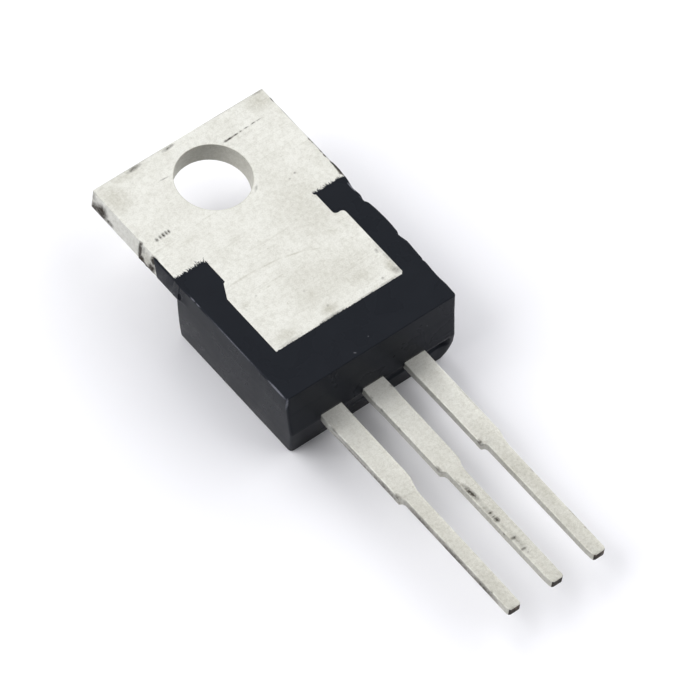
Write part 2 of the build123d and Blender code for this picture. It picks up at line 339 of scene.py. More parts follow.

# Painted highlights along the moulding's rims, and flecks of dust, in the same form as the plating's dirt list
paintedRimHighlights = [
    ((-5.2, 1.15, 4.45), (0.08, 0.9, 0.1), 0, 1.0),
    ((-5.13, 0.43, 4.15), (0.08, 0.1, 0.7), 0, 0.7),
    ((-5.2, 4.3, 4.46), (0.05, 2.8, 0.07), 0, 0.5),
    ((-5.19, 7.45, 4.47), (0.05, 0.22, 0.06), 0, 0.8),
    ((-5.19, 7.05, 4.47), (0.04, 0.25, 0.06), 0, 0.6),
    ((4.985, 8.12, 4.49), (0.05, 0.36, 0.07), 0, 1.7),
    ((4.97, 7.35, 4.49), (0.035, 0.22, 0.05), 12, 0.5),
]
dust = [
    ((-0.9, 0.64, 4.5), (0.17, 0.07, 0.1), -40, 0.48),
    ((0.2, 1.0, 4.5), (0.08, 0.07, 0.1), 0, 0.5),
    ((3.3, 0.25, 3.6), (0.08, 0.1, 0.1), 0, 0.55),
]


def mouldedEpoxy(add, place):
    # silica-filled epoxy, transfer moulded: blue-black satin that picks up a soft image of what is near it
    look = epoxyLook
    grain = add("TexNoise", {
        "Vector": place, "Scale": 1 / (look["textureSize"] * mm), "Detail": 3.0, "Roughness": 0.6,
    })
    flow = add("TexNoise", {
        "Vector": place, "Scale": 1 / (look["flowSize"] * mm), "Detail": 3.0, "Roughness": 0.55,
        "Distortion": 0.4,
    })
    # breaks up both the painted highlights and the dust
    highlightAndDustBreakup = add("MapRange", {
        "Value": grain, "From Min": 0.3, "From Max": 0.6, "To Min": 0.5, "To Max": 1.1,
    })
    # painted highlights along the rims, mixed towards a pale grey
    paintedHighlight = add("Math", {0: patches(add, place, paintedRimHighlights, highlightAndDustBreakup, 0.1, 0.8), 1: 0.5}, operation="MULTIPLY")
    highlightedEpoxy = add("Mix", {
        0: paintedHighlight, 6: linear(look["colour"]), 7: linear(look["paintedHighlight"]),
    }, data_type="RGBA")
    colour = add("Mix", {
        0: patches(add, place, dust, highlightAndDustBreakup, 0.3, 1.3), 6: highlightedEpoxy, 7: linear(look["dust"]),
    }, data_type="RGBA")
    rough = add("MapRange", {
        "Value": flow, "From Min": 0.3, "From Max": 0.7,
        "To Min": look["roughness"] - 0.04, "To Max": look["roughness"] + 0.06,
    })
    relief = add("Bump", {"Strength": 0.06, "Distance": 0.006 * mm, "Height": grain})
    return add("BsdfPrincipled", {
        "Base Color": colour, "Roughness": rough, "Specular IOR Level": look["specular"],
        "Specular Tint": linear(look["sheen"]), "Normal": relief,
    })


innerLook = {
    # name: colour, second colour, patch size in mm, metallic, roughness
    "polishedSilicon": ("#4A4C55", "#5A5C66", 0.3, 0.9, 0.22),
    "softSolder": ("#8D8F90", "#6F7173", 0.15, 1.0, 0.5),
    "drawnAluminiumWire": ("#D4D4D3", "#BDBDBC", 0.1, 1.0, 0.38),
}


def innerFinish(add, place, first, second, size, metallic, roughness):
    # what the moulding hides: two close shades in fine patches, bright on the sawn chip, dull on the solder
    patch = add("TexNoise", {"Vector": place, "Scale": 1 / (size * mm), "Detail": 3.0})
    colour = add("Mix", {0: patch, 6: linear(first), 7: linear(second)}, data_type="RGBA")
    relief = add("Bump", {"Strength": 0.2, "Distance": 0.004 * mm, "Height": patch})
    return add("BsdfPrincipled", {
        "Base Color": colour, "Metallic": metallic, "Roughness": roughness, "Normal": relief,
    })


tin = newMaterial("matteTinPlating", tinPlating)
sheared = newMaterial("shearedCopper", shearedCopper)
epoxy = newMaterial("mouldedBlackEpoxy", mouldedEpoxy)
innerNodes = {
    "switch_die": "polishedSilicon", "die_attach_solder": "softSolder",
    "drain_bond_wire": "drawnAluminiumWire", "source_bond_wire_left": "drawnAluminiumWire",
    "source_bond_wire_right": "drawnAluminiumWire", "control_bond_wire": "drawnAluminiumWire",
}
made = {name: newMaterial(name, innerFinish, *look) for name, look in innerLook.items()}
for node, name in innerNodes.items():
    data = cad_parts[node].data
    data.materials.clear()
    data.materials.append(made[name])
print("materials made:", len(bpy.data.materials))


def arc(centre, radius, start, end, steps):
    return [(centre[0] + radius * math.cos(math.radians(start + (end - start) * i / steps)),
             centre[1] + radius * math.sin(math.radians(start + (end - start) * i / steps)))
            for i in range(steps + 1)]


def pull(mesh, way):
    # makes an open sheet a closed solid by drawing a copy of it out along the way given
    pulled = bmesh.ops.extrude_face_region(mesh, geom=mesh.faces[:])
    moved = [v for v in pulled["geom"] if isinstance(v, bmesh.types.BMVert)]
    bmesh.ops.translate(mesh, verts=moved, vec=way)
    bmesh.ops.recalc_face_normals(mesh, faces=mesh.faces[:])
    return mesh


def slab(outline, low, high, holes=()):
    # a flat outline, with round holes given as centre, radius and sides, pulled up between two heights in mm
    points, edges = [], []
    for loop in [outline, *[arc(centre, radius, 0, 360, sides)[:-1] for centre, radius, sides in holes]]:
        first = len(points)
        points += [Vector(p) for p in loop]
        edges += [(first + i, first + (i + 1) % len(loop)) for i in range(len(loop))]
    places, _, faces = geometry.delaunay_2d_cdt(points, edges, [], 5, 1e-6)[:3]
    mesh = bmesh.new()
    corners = [mesh.verts.new(at(x, y, low)) for x, y in places]
    for face in faces:
        middle = sum((places[i] for i in face), Vector((0, 0))) / len(face)
        if all((middle - Vector(centre)).length > radius for centre, radius, sides in holes):
            mesh.faces.new([corners[i] for i in face])
    return pull(mesh, (0, 0, (high - low) * mm))


def loft(outlines):
    # a closed skin through outlines in mm, one after another, that have the same number of points
    mesh = bmesh.new()
    rings = [[mesh.verts.new(at(*p)) for p in outline] for outline in outlines]
    for lower, upper in zip(rings, rings[1:]):
        n = len(lower)
        for i in range(n):
            mesh.faces.new([lower[i], lower[(i + 1) % n], upper[(i + 1) % n], upper[i]])
    mesh.faces.new(list(reversed(rings[0])))
    mesh.faces.new(rings[-1])
    bmesh.ops.recalc_face_normals(mesh, faces=mesh.faces[:])
    return mesh


def softenEdges(mesh, chosen, radius):
    # rounds the sharp edges that a test on their middle point and direction chooses
    edges = []
    for edge in mesh.edges:
        a, b = (v.co for v in edge.verts)
        sharp = len(edge.link_faces) == 2 and edge.calc_face_angle(0) > 0.6
        if sharp and chosen((a + b) / 2, (b - a).normalized()):
            edges.append(edge)
    bmesh.ops.bevel(mesh, geom=edges, offset=radius * mm, offset_type="OFFSET", segments=3, profile=0.5,
                    affect="EDGES", clamp_overlap=True)


def newObject(name, data):
    thing = bpy.data.objects.new(name, data)
    bpy.context.scene.collection.objects.link(thing)
    return thing


def toObject(name, mesh, *materials):
    data = bpy.data.meshes.new(name)
    mesh.to_mesh(data)
    mesh.free()
    for material in materials:
        data.materials.append(material)
    return newObject(name, data)


def settle(piece):
    # turns a piece with its modifiers into a plain mesh
    plain = bpy.data.meshes.new_from_object(piece.evaluated_get(bpy.context.evaluated_depsgraph_get()))
    piece.modifiers.clear()
    piece.data = plain
    plain.name = piece.name


def combine(piece, others, operation):
    # exact union or difference with other closed pieces, which are then thrown away
    for other in others:
        cut = piece.modifiers.new("combine", "BOOLEAN")
        cut.operation = operation
        cut.solver = "EXACT"
        cut.material_mode = "TRANSFER"
        cut.object = other
    settle(piece)
    for other in others:
        bpy.data.objects.remove(other)


def shade(piece, angle):
    # smooth where neighbouring faces meet at less than the angle, with the larger faces setting the normals
    piece.data.shade_smooth()
    piece.data.set_sharp_from_angle(angle=math.radians(angle))
    even = piece.modifiers.new("even", "WEIGHTED_NORMAL")
    even.keep_sharp = True
    settle(piece)


def walk(points, step):
    # evenly spaced places along a route, with all its corners
    places = []
    for a, b in zip(points, points[1:]):
        a, b = Vector(a), Vector(b)
        count = max(1, round((b - a).length / step))
        places += [a.lerp(b, i / count) for i in range(count)]
    return places + [Vector(points[-1])]


def rail(name, places, **layers):
    # a line of points in mm that carries a number for each point in each named layer
    data = bpy.data.meshes.new(name)
    data.from_pydata([at(*p) for p in places], [(i, i + 1) for i in range(len(places) - 1)], [])
    for layer, values in layers.items():
        data.attributes.new(layer, "FLOAT", "POINT").data.foreach_set("value", values)
    return newObject(name, data)


def grow(line, tree, values):
    # runs a node tree on a line with its inputs set by name, and keeps the mesh that it makes
    maker = line.modifiers.new("maker", "NODES")
    maker.node_group = tree
    for socket in tree.interface.items_tree:
        if socket.in_out == "INPUT" and socket.name in values:
            maker[socket.identifier] = values[socket.name]
    settle(line)
    return line


def newTree(name, **inputs):
    # an empty geometry tree with its named inputs, what adds its nodes, and what its inputs give
    tree = bpy.data.node_groups.new(name, "GeometryNodeTree")
    tree.interface.new_socket("Geometry", in_out="INPUT", socket_type="NodeSocketGeometry")
    tree.interface.new_socket("Geometry", in_out="OUTPUT", socket_type="NodeSocketGeometry")
    for kind, names in inputs.items():
        for socket in names:
            tree.interface.new_socket(socket, in_out="INPUT", socket_type="NodeSocket" + kind)
    add = partial(addNode, tree)
    return tree, add, add("NodeGroupInput").outputs


leadSize = {
    "narrow": 0.78,
    "length": 13.55,
    "step": 0.05,
    "edgeRadius": 0.04,
    "waver": 0.014,  # how far a stamped edge wanders
    "waverRate": 650.0,  # how fast it wanders, per metre
    "sideShift": 17.0,  # keeps the two edges from wandering alike
    "tipRounding": 0.035,
    "tipLength": 0.06,  # how far the rounding of the tip reaches
    "bondPadStart": 0.6,
    # half widths towards -x and then +x, by distance from the moulding
    "edges": {
        "drain": (
            [(-13.55, 0.32), (-13.5, 0.39), (-13.42, 0.42), (-6.03, 0.42), (-5.9, 0.49), (-5.8, 0.635),
             (-5.48, 0.64), (-5.4, 0.628), (-1.5, 0.625), (-1.0, 0.65), (-0.5, 0.66), (0.0, 0.625)],
            [(-13.55, 0.25), (-13.5, 0.3), (-13.42, 0.32), (-12.0, 0.335), (-6.3, 0.35), (-5.95, 0.36),
             (-5.5, 0.47), (-5.2, 0.57), (-4.9, 0.6), (-1.2, 0.625), (0.0, 0.63)],
        ),
        "source": (
            [(-13.55, 0.25), (-13.5, 0.32), (-13.42, 0.35), (-13.0, 0.38), (-6.0, 0.395), (-5.85, 0.45),
             (-5.72, 0.63), (-5.4, 0.635), (-5.32, 0.625), (-1.5, 0.62), (-1.0, 0.65), (-0.5, 0.655),
             (0.0, 0.625)],
            [(-13.55, 0.28), (-13.5, 0.35), (-13.42, 0.38), (-6.4, 0.385), (-6.0, 0.43), (-5.8, 0.54),
             (-5.5, 0.6), (-1.2, 0.62), (-0.7, 0.645), (0.0, 0.625)],
        ),
        "control": (
            [(-13.55, 0.23), (-13.5, 0.31), (-13.42, 0.34), (-13.0, 0.37), (-5.92, 0.385), (-5.77, 0.44),
             (-5.68, 0.63), (-5.36, 0.63), (-5.27, 0.62), (-1.5, 0.62), (-0.8, 0.64), (0.0, 0.625)],
            [(-13.55, 0.29), (-13.5, 0.37), (-13.42, 0.41), (-13.1, 0.41), (-7.5, 0.42), (-6.5, 0.43),
             (-6.0, 0.48), (-5.7, 0.57), (-5.5, 0.61), (-1.2, 0.625), (0.0, 0.63)],
        ),
    },
}


def leadTree():
    # sweeps a rounded bar along the rail, then moves each side out to the half width that the rail carries
    tree, add, given = newTree("stampedLead", Float=(
        "Narrow", "Gauge", "Edge Radius", "Waver", "Tip Rounding", "Length", "Middle", "Level", "Root",
        "Seed",
    ), Material=("Plating", "Cut"))
    line = add("GeometryNodeMeshToCurve", {"Mesh": given["Geometry"]})
    upright = add("GeometryNodeSetCurveNormal", {"Curve": line}, mode="Z_UP")
    section = add("GeometryNodeCurvePrimitiveQuadrilateral", {
        "Width": given["Narrow"], "Height": given["Gauge"],
    })
    rounded = add("GeometryNodeFilletCurve", {
        "Curve": section, "Radius": given["Edge Radius"], "Count": 3,
    }, mode="POLY")
    blade = add("GeometryNodeCurveToMesh", {
        "Curve": upright, "Profile Curve": rounded, "Fill Caps": True,
    })

    where = add("SeparateXYZ", {"Vector": add("GeometryNodeInputPosition")})
    across, y, z = where.outputs["X"], where.outputs["Y"], where.outputs["Z"]
    offLine = add("Math", {0: across, 1: given["Middle"]}, operation="SUBTRACT")
    side = add("Math", {0: offLine}, operation="SIGN")
    isRight = add("FunctionNodeCompare", {"A": offLine, "B": 0.0}, operation="GREATER_THAN")
    left, right = (add("GeometryNodeInputNamedAttribute", {"Name": layer}) for layer in ("left", "right"))
    reach = add("GeometryNodeSwitch", {
        "Switch": isRight, "False": left, "True": right,
    }, input_type="FLOAT")
    # a stamped edge wanders a little, each side in its own way
    along = add("Math", {0: y, 1: leadSize["waverRate"], 2: given["Seed"]}, operation="MULTIPLY_ADD")
    apart = add("Math", {0: side, 1: leadSize["sideShift"], 2: along}, operation="MULTIPLY_ADD")
    wander = add("TexNoise", {
        "W": apart, "Scale": 1.0, "Detail": 4.0, "Roughness": 0.6,
    }, noise_dimensions="1D")
    centred = add("Math", {0: wander, 1: 0.5}, operation="SUBTRACT")
    wavy = add("Math", {0: centred, 1: given["Waver"], 2: reach}, operation="MULTIPLY_ADD")
    half = add("Math", {0: given["Narrow"], 1: 0.5}, operation="MULTIPLY")
    extra = add("Math", {0: wavy, 1: half}, operation="SUBTRACT")
    sideways = add("Math", {0: extra, 1: side}, operation="MULTIPLY")
    # the back rim of the tip is rounded over by the cut
    tipStart = add("Math", {0: given["Root"], 1: given["Length"]}, operation="SUBTRACT")
    tipDone = add("Math", {0: tipStart, 1: leadSize["tipLength"] * mm})
    above = add("Math", {0: z, 1: given["Level"]}, operation="GREATER_THAN")
    sunk = add("Math", {0: above, 1: given["Tip Rounding"]}, operation="MULTIPLY")
    down = add("Math", {0: sunk, 1: -1.0}, operation="MULTIPLY")
    lowered = add("MapRange", {
        "Value": y, "From Min": tipStart, "From Max": tipDone, "To Min": down, "To Max": 0.0,
    })
    offset = add("CombineXYZ", {"X": sideways, "Z": lowered})
    shaped = add("GeometryNodeSetPosition", {"Geometry": blade, "Offset": offset})

    real = add("GeometryNodeRealizeInstances", {"Geometry": shaped})
    plated = add("GeometryNodeSetMaterial", {"Geometry": real, "Material": given["Plating"]})
    facing = add("SeparateXYZ", {"Vector": add("GeometryNodeInputNormal")})
    beyond = add("FunctionNodeCompare", {"A": y, "B": tipDone}, operation="LESS_THAN")
    isEnd = add("Math", {0: facing.outputs["Y"], 1: -0.8}, operation="LESS_THAN")
    bare = add("Math", {0: isEnd, 1: beyond}, operation="MULTIPLY")
    cut = add("GeometryNodeSetMaterial", {
        "Geometry": plated, "Selection": bare, "Material": given["Cut"],
    })
    add("NodeGroupOutput", {"Geometry": cut})
    return tree


leadMaker = leadTree()


def makeLead(name, middle, route, edges, innerHalf, seed):
    # a lead along a route in mm from its tip inwards, with its two edge tables and its inner end's half width
    s = leadSize
    places = walk(route, s["step"])
    first = s["bondPadStart"]
    inner = [(first - 0.01, edges[0][-1][1]), (first, innerHalf)]
    left, right = ([tableAt(edge + inner, p.y) * mm for p in places] for edge in edges)
    return grow(rail(name, places, left=left, right=right), leadMaker, {
        "Narrow": s["narrow"] * mm, "Gauge": leadGauge * mm, "Edge Radius": s["edgeRadius"] * mm,
        "Waver": s["waver"] * mm, "Tip Rounding": s["tipRounding"] * mm, "Length": s["length"] * mm,
        "Middle": middle * mm, "Level": leadLevel * mm, "Root": leadEnd, "Seed": seed,
        "Plating": tin, "Cut": sheared,
    })


drainX = (drainLow.x + drainHigh.x) / 2 / mm
controlX = (controlLow.x + controlHigh.x) / 2 / mm
padInner = (drainHigh.y - leadEnd) / mm
padHalf = (drainHigh.x - drainLow.x) / 2 / mm
tip = -leadSize["length"]
drainLead = makeLead("drainLead", drainX, [(drainX, tip, leadLevel), (drainX, padInner, leadLevel)],
                     leadSize["edges"]["drain"], padHalf, 11.0)
controlLead = makeLead("controlLead", controlX, [(controlX, tip, leadLevel), (controlX, padInner, leadLevel)],
                       leadSize["edges"]["control"], padHalf, 53.0)
print("outer leads made:", len(drainLead.data.polygons), "faces each")


plateSize = {
    "gauge": 1.25,
    "halfWidth": 5.14,
    "tabEnd": 15.1,
    "keyEnd": 8.8,
    "neckHalf": 3.33,
    "shoulder": 7.35,
    "padHalf": 3.87,
    "padEnd": 2.83,
    "leftChamfer": 0.84,
    "keyChamfer": (0.13, 0.17),  # across and along
    "neckChamfer": (0.12, 0.01, 0.05),  # across, and along to either side of the shoulder
    "rightRadius": 0.2,
    "padCornerChamfer": 0.13,
    "holeRadius": 1.91,
    "holeY": 12.38,
    "holeSides": 96,
    "backRimRadius": 0.04,
    "frontRimRadius": 0.11,  # rolled over by the stamping die
    "lockReach": 0.32,
    "lockGauge": 0.6,
    "joggleStart": 0.75,
    "joggleEnd": 2.21,
    "joggleRadius": 0.35,
}

# Where the tab was cut from its neighbours
landSize = {
    # side, start, end, lowest and highest point, in mm
    "places": [(-1, 14.02, 15.06, 3.26, 4.45), (-1, 10.28, 11.48, 3.2, 4.46),
               (1, 14.1, 14.5, 3.27, 4.46), (1, 10.25, 11.5, 3.27, 4.46)],
    "proud": 0.075,
    "roughness": 0.06,
    "grain": (3, 3.2, 4.5),  # how fast the roughness changes across, along and up
    "grid": 0.05,
    "fade": 0.12,  # how far its slopes reach
    "sunkRim": 0.012,  # how deep its rim lies inside the tab
    "root": 0.2,  # how far it goes into the tab
}


def makePlate():
    s = plateSize
    tab, key, neck, pad, shoulder = s["halfWidth"], s["keyEnd"], s["neckHalf"], s["padHalf"], s["shoulder"]
    r, c = s["rightRadius"], s["padCornerChamfer"]
    keyX, keyY = s["keyChamfer"]
    neckX, neckUp, neckDown = s["neckChamfer"]
    outline = [
        (-tab, s["tabEnd"]), (-tab, key), (-neck - keyX, key), (-neck, key - keyY),
        (-neck, shoulder + neckUp), (-neck - neckX, shoulder - neckDown), (-pad, shoulder - s["leftChamfer"]),
        (-pad, s["padEnd"]), (pad - c, s["padEnd"]), (pad, s["padEnd"] + c),
        *arc((pad - r, shoulder - r), r, 0, 90, 5), *arc((neck + r, shoulder + r), r, 270, 180, 5),
        (neck, key), (tab, key), (tab, s["tabEnd"]),
    ]
    hole = ((0, s["holeY"]), s["holeRadius"], s["holeSides"])
    mesh = slab(outline, backLevel - s["gauge"], backLevel, [hole])
    keyLine = key * mm + leadEnd + 1e-6
    middle = (backLevel - s["gauge"] / 2) * mm
    # only the tab's own rims are rounded: its outer uprights, its back rims, then its front rims
    for radius, chosen in (
        (s["backRimRadius"], lambda p, way: abs(way.z) > 0.9 and abs(p.x) > 4 * mm),
        (s["backRimRadius"], lambda p, way: abs(way.z) < 0.1 and p.z > middle),
        (s["frontRimRadius"], lambda p, way: abs(way.z) < 0.1 and p.z < middle),
    ):
        softenEdges(mesh, lambda p, way: p.y > keyLine and chosen(p, way), radius)
    return toObject("heatSinkFrame", mesh, tin, sheared)


def makeLand(side, start, end, low, high):
    # a low rough land on the side of the tab, where the strip was broken off
    s = landSize
    across, along, upwards = s["grain"]
    columns, rows = round((end - start) / s["grid"]), round((high - low) / s["grid"])
    mesh = bmesh.new()
    outer = []
    for i in range(columns + 1):
        y = start + (end - start) * i / columns
        line = []
        for k in range(rows + 1):
            z = low + (high - low) * k / rows
            edge = min(y - start, end - y, z - low, high - z) / s["fade"]
            rough = noise.fractal(Vector((side * across, y * along, z * upwards)), 0.8, 2.2, 4)
            stand = min(edge, 1) * (s["proud"] + s["roughness"] * (rough - 0.1)) - s["sunkRim"]
            line.append(mesh.verts.new(at(side * (plateSize["halfWidth"] + stand), y, z)))
        outer.append(line)
    for a, b in zip(outer, outer[1:]):
        for k in range(rows):
            mesh.faces.new([a[k], a[k + 1], b[k + 1], b[k]])
    return toObject("land", pull(mesh, (-side * s["root"] * mm, 0, 0)), tin)


def makeLockStep():
    # the thinner step round the paddle's front that locks it into the moulding
    s = plateSize
    front = backLevel - s["gauge"]
    reach = s["padHalf"] + s["lockReach"]
    near, far = s["padEnd"] - s["lockReach"], s["shoulder"] - s["leftChamfer"]
    outline = [(-reach, near), (reach, near), (reach, far), (-reach, far)]
    return toObject("lockStep", slab(outline, front, front + s["lockGauge"]), tin, sheared)


def filletRoute(points, radius, steps=6):
    # rounds the inner corners of a route that lies in the y, z plane
    route = [points[0]]
    for before, corner, after in zip(points, points[1:], points[2:]):
        a = (Vector(before) - Vector(corner)).normalized()
        b = (Vector(after) - Vector(corner)).normalized()
        angle = a.angle(b)
        reach = radius / math.tan(angle / 2)
        centre = Vector(corner) + (a + b).normalized() * (radius / math.sin(angle / 2))
        first = (Vector(corner) + a * reach - centre).normalized()
        last = (Vector(corner) + b * reach - centre).normalized()
        route += [tuple(centre + first.slerp(last, i / steps) * radius) for i in range(steps + 1)]
    return route + [points[-1]]


padLevel = backLevel - plateSize["gauge"] + leadGauge / 2
sourceRoute = filletRoute([
    (0, tip, leadLevel), (0, plateSize["joggleStart"], leadLevel),
    (0, plateSize["joggleEnd"], padLevel), (0, plateSize["padEnd"] + 0.3, padLevel),
], plateSize["joggleRadius"])
sourceEdges = leadSize["edges"]["source"]
sourceLead = makeLead("sourceLead", 0, sourceRoute, sourceEdges, sourceEdges[0][-1][1], 29.0)
heatSinkFrame = makePlate()
lands = [makeLand(*place) for place in landSize["places"]]
combine(heatSinkFrame, [makeLockStep(), sourceLead, *lands], "UNION")
print("heat sink frame made:", len(heatSinkFrame.data.polygons), "faces")


mouldSize = {
    # height, left, right, lead end and tab end of the outline, in mm
    "levels": [
        (0.0, -4.70, 4.9, 0.15, 8.42),
        (0.8, -4.831, 5.02, 0.07, 8.47),
        (1.15, -4.883, 5.08, 0.04, 8.49),
        (1.755, -4.965, 5.06, 0.0, 8.52),
        (2.5, -5.053, 5.055, 0.114, 8.56),
        (3.25, -5.126, 5.05, 0.23, 8.6),
        (3.251, -5.1261, 5.05, 0.2302, 8.8),
        (4.0, -5.18, 5.068, 0.344, 8.8),
        (4.5, -5.215, 5.08, 0.42, 8.8),
    ],
    # how far the front rim is rounded off on the left, right, lead end and tab end
    "frontRims": (0.07, 0.6, 0.07, 0.2),
    # how far the front half is set back under the parting line, near the lead end only: by x, and by height
    "parting": 1.72,
    "ledgeEnd": 2,
    "ledge": [(-1.6, 0.0), (0.0, 0.05), (0.8, 0.16), (3.0, 0.16), (3.5, 0.24), (4.2, 0.36), (4.55, 0.2),
              (4.72, 0.0)],
    "ledgeDepth": [(0.0, 0.0), (0.9, 0.3), (1.1, 0.4), (1.2, 0.9), (1.3, 1.0)],
    # how far the back rim is rounded off on the left, right, lead end and tab end
    "backRims": (0.09, 0.05, 0.05, 0.0),
    # corner radius by height, at the lead end's left and right
    "leftCorner": [(0.0, 0.22), (0.5, 0.15), (3.3, 0.11), (4.5, 0.13)],
    "rightCorner": [(0.0, 0.3), (0.8, 0.14), (4.5, 0.12)],
    "tabCorner": 0.05,
    # how many steps of the grid go to each straight side, and the heights of the outlines
    "grid": 0.11,
    "sides": (10.2, 8.5),
    "heights": [0, 0.012, 0.03, 0.06, 0.1, 0.16, 0.24, 0.34, 0.5, 0.7, 0.9, 1.02, 1.1, 1.15, 1.2, 1.3, 1.45,
                1.6, 1.7, 1.755, 1.9, 2.1, 2.4, 2.7, 3.0, 3.25, 3.251, 3.4, 3.55, 3.7, 3.85, 4.0, 4.1, 4.2,
                4.3, 4.38, 4.42, 4.44, 4.46, 4.48, 4.49, 4.5],
    # how far each back rim stands out of line, by distance from the lead end
    "leftRim": [(0.4, -0.02), (1.8, -0.02), (3.0, -0.005), (7.0, 0.0), (8.0, 0.005), (8.8, 0.02)],
    "rightRim": [(0.4, 0.0), (0.6, 0.015), (1.2, 0.035), (1.74, -0.01), (2.29, 0.01), (2.75, 0.05),
                 (2.87, -0.01), (3.0, 0.045), (3.5, 0.07), (4.14, 0.11), (4.4, 0.05), (4.57, 0.01),
                 (4.69, -0.01), (4.87, 0.08), (5.37, 0.11), (5.75, 0.12), (6.33, 0.095), (6.64, 0.07),
                 (6.94, 0.03), (7.05, -0.02), (7.17, -0.11), (7.29, -0.09), (7.48, -0.02), (7.6, -0.01),
                 (7.89, -0.05), (8.12, -0.055), (8.47, 0.03), (8.62, 0.06), (8.8, 0.09)],
    "rimFade": 0.8,  # how far down from the back the rims' unevenness reaches
    "rimStart": 3.6,  # how far off the middle it starts, and over what length it grows
    "rimGrowth": 1.4,
    "flare": (7.7, 8.5),  # where the left side swells out to meet the strip
    "flareLow": 3.3,  # the lowest outline that does
    "ripple": 0.0025,  # moulded faces are never dead flat
    "rippleRate": (0.7, 0.9, 0.8),
    "pit": ((-5.25, 8.29, 3.75), (0.1, 0.13, 0.27)),
    "ejectorMark": ((0.0, 4.3), 0.8, 0.05),
}

# Strips of the moulding along the tab's sides
stripSize = {
    # side, end, lowest point, outer face, slant of the end, and how far the foot is sunk, in mm
    "strips": [(-1, 10.35, 3.4, 5.25, 0.4, 0.0), (1, 9.8, 3.42, 5.185, 0.3, 0.1)],
    "start": 8.4,
    "foot": 8.85,  # where the strip leaves the moulding
    "full": 9.3,  # where it has come out to its outer face
    "overlap": 0.12,
    "top": 0.004,  # how far it lies below the tab's back
    "rimRadius": 0.02,
}


def levelAt(z):
    return [tableAt([(row[0], row[i]) for row in mouldSize["levels"]], z) for i in range(1, 5)]


def mouldRing(z, insets):
    # the outline of the moulding at one height, anticlockwise, always with the same number of points
    s = mouldSize
    left, right, near, far = (v + d * inset for v, d, inset in zip(levelAt(z), (1, -1, 1, -1), insets))
    leftRadius = max(tableAt(s["leftCorner"], z) - insets[0], 0.02)
    rightRadius = max(tableAt(s["rightCorner"], z) - insets[1] / 2, 0.02)
    corners = [(left, near, 1, 1, leftRadius), (right, near, -1, 1, rightRadius),
               (right, far, -1, -1, s["tabCorner"]), (left, far, 1, -1, s["tabCorner"])]
    turns = [arc((x + dx * r, y + dy * r), r, 180 + 90 * i, 270 + 90 * i, 6)
             for i, (x, y, dx, dy, r) in enumerate(corners)]
    ring = []
    for i, turn in enumerate(turns):
        begin, end = Vector(turn[-1]), Vector(turns[(i + 1) % 4][0])
        count = round(s["sides"][i % 2] / s["grid"])
        ring += turn + [tuple(begin.lerp(end, k / count)) for k in range(1, count)]
    depth = min(max((z - backLevel + s["rimFade"]) / s["rimFade"], 0), 1)
    flareStart, flareEnd = s["flare"]
    bent = []
    for x, y in ring:
        rim = tableAt(s["rightRim"] if x > 0 else s["leftRim"], y) * depth ** 1.5
        share = min(max((abs(x) - s["rimStart"]) / s["rimGrowth"], 0), 1)
        if x < 0 and z > s["flareLow"]:
            swell = min(max((y - flareStart) / (flareEnd - flareStart), 0), 1)
            rim += (stripSize["strips"][0][3] + left - rim) * swell * swell * (3 - 2 * swell)
        if z < s["parting"] and y < s["ledgeEnd"]:
            y += tableAt(s["ledge"], x) * tableAt(s["ledgeDepth"], z)
        ripple = s["ripple"] * noise.noise(Vector([c * rate for c, rate in zip((x, y, z), s["rippleRate"])]))
        bent.append((x + (1 if x > 0 else -1) * (rim * share + ripple), y + ripple, z))
    return bent


def rolled(z, radius):
    # how far a rim rounded with this radius is drawn in, at a distance from the face
    return radius - math.sqrt(radius ** 2 - min(max(radius - z, 0), radius) ** 2)


def makeBlock():
    rings = []
    for z in mouldSize["heights"]:
        radii = zip(mouldSize["frontRims"], mouldSize["backRims"])
        rings.append(mouldRing(z, [rolled(z, front) + rolled(backLevel - z, back) for front, back in radii]))
    return toObject("mouldedBody", loft(rings), epoxy)


def makeStrip(side, end, low, outer, slant, sunk):
    # a strip of plastic beside the tab
    s = stripSize
    top = backLevel - s["top"]
    inner = plateSize["halfWidth"] - s["overlap"]
    # distance along the tab, lowest point and outer face
    stations = [(s["start"], low, outer - sunk), (s["foot"], low, outer - sunk * 0.4),
                (s["full"], low, outer), (end - slant, low, outer),
                (end - slant * 0.25, top - 0.28, outer - 0.006), (end, top - 0.04, outer - 0.012)]
    mesh = loft([[(side * x, y, z) for x, z in ((inner, bottom), (inner, top), (reach, top), (reach, bottom))]
                 for y, bottom, reach in stations])
    rim = (outer - sunk - 0.03) * mm
    softenEdges(mesh, lambda p, way: abs(p.x) > rim and abs(way.y) > 0.5, s["rimRadius"])
    return toObject("strip", mesh, epoxy)


def makePit(centre, half):
    mesh = bmesh.new()
    bmesh.ops.create_icosphere(mesh, subdivisions=3, radius=1)
    for v in mesh.verts:
        v.co = at(*(c + h * k for c, h, k in zip(centre, half, v.co)))
    return toObject("pit", mesh, epoxy)


def copyOf(source):
    # a closed copy of a piece, to cut its pocket in the moulding
    mesh = bmesh.new()
    mesh.from_mesh(source.data)
    bmesh.ops.remove_doubles(mesh, verts=mesh.verts[:], dist=1e-7)
    for face in mesh.faces:
        face.material_index = 0
    return toObject("cutter", mesh, epoxy)


mouldedBody = makeBlock()
combine(mouldedBody, [makeStrip(*strip) for strip in stripSize["strips"]], "UNION")
(markX, markY), markRadius, markDepth = mouldSize["ejectorMark"]
mark = toObject("mark", slab(arc((markX, markY), markRadius, 0, 360, 48)[:-1], -0.1, markDepth), epoxy)
cutters = [mark, makePit(*mouldSize["pit"]), copyOf(heatSinkFrame), copyOf(drainLead), copyOf(controlLead)]
cutters += [copyOf(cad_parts[node]) for node in innerNodes]
combine(mouldedBody, cutters, "DIFFERENCE")
print("moulding made:", len(mouldedBody.data.polygons), "faces")


